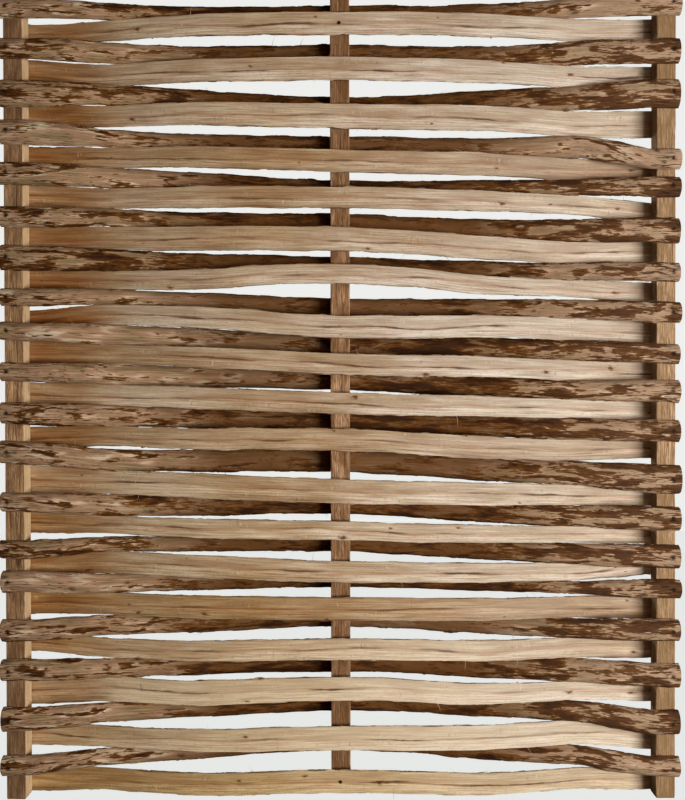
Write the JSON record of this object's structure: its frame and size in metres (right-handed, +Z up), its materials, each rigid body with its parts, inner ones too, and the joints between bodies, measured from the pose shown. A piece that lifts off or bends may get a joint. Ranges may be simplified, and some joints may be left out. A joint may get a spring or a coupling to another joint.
{
  "type": "hazel hurdle",
  "caption": "Woven fence panel of split hazel rods nailed to sawn softwood posts, with a centre upright that the rods weave round",
  "frame": {"origin": "bottom centre of the panel, level with the feet of the outer posts", "axes": "+X along the panel to the viewer's right, +Y to the back, +Z up; the pale split faces look to -Y at the centre upright"},
  "size_m": [1.2, 0.0715, 1.4267],
  "materials": {
    "hazel_bark": "rough, peeling bark",
    "hazel_split": "raw split grain",
    "sawn_post": "rough sawn, weathered",
    "nail_steel": "dull, rust darkened"
  },
  "bodies": {
    "root": {"left_post": "sawn_post", "right_post": "sawn_post", "centre_upright": "sawn_post", "centre_nail_top": "nail_steel", "centre_nail_bottom": "nail_steel", "bark_rod_01": "hazel_bark", "bark_rod_02": "hazel_bark", "bark_rod_03": "hazel_bark", "bark_rod_04": "hazel_bark", "bark_rod_05": "hazel_bark", "bark_rod_06": "hazel_bark", "bark_rod_07": "hazel_bark", "bark_rod_08": "hazel_bark", "bark_rod_09": "hazel_bark", "bark_rod_10": "hazel_bark", "bark_rod_11": "hazel_bark", "bark_rod_12": "hazel_bark", "bark_rod_13": "hazel_bark", "bark_rod_14": "hazel_bark", "bark_rod_15": "hazel_bark", "bark_rod_16": "hazel_bark", "bark_rod_17": "hazel_bark", "bark_rod_18": "hazel_bark", "bark_rod_19": "hazel_bark", "pale_rod_01": "hazel_split", "pale_rod_02": "hazel_split", "pale_rod_03": "hazel_split", "pale_rod_04": "hazel_split", "pale_rod_05": "hazel_split", "pale_rod_06": "hazel_split", "pale_rod_07": "hazel_split", "pale_rod_08": "hazel_split", "pale_rod_09": "hazel_split", "pale_rod_10": "hazel_split", "pale_rod_11": "hazel_split", "pale_rod_12": "hazel_split", "pale_rod_13": "hazel_split", "pale_rod_14": "hazel_split", "pale_rod_15": "hazel_split", "pale_rod_16": "hazel_split", "pale_rod_17": "hazel_split", "pale_rod_18": "hazel_split", "pale_rod_19": "hazel_split"}
  },
  "joints": []
}
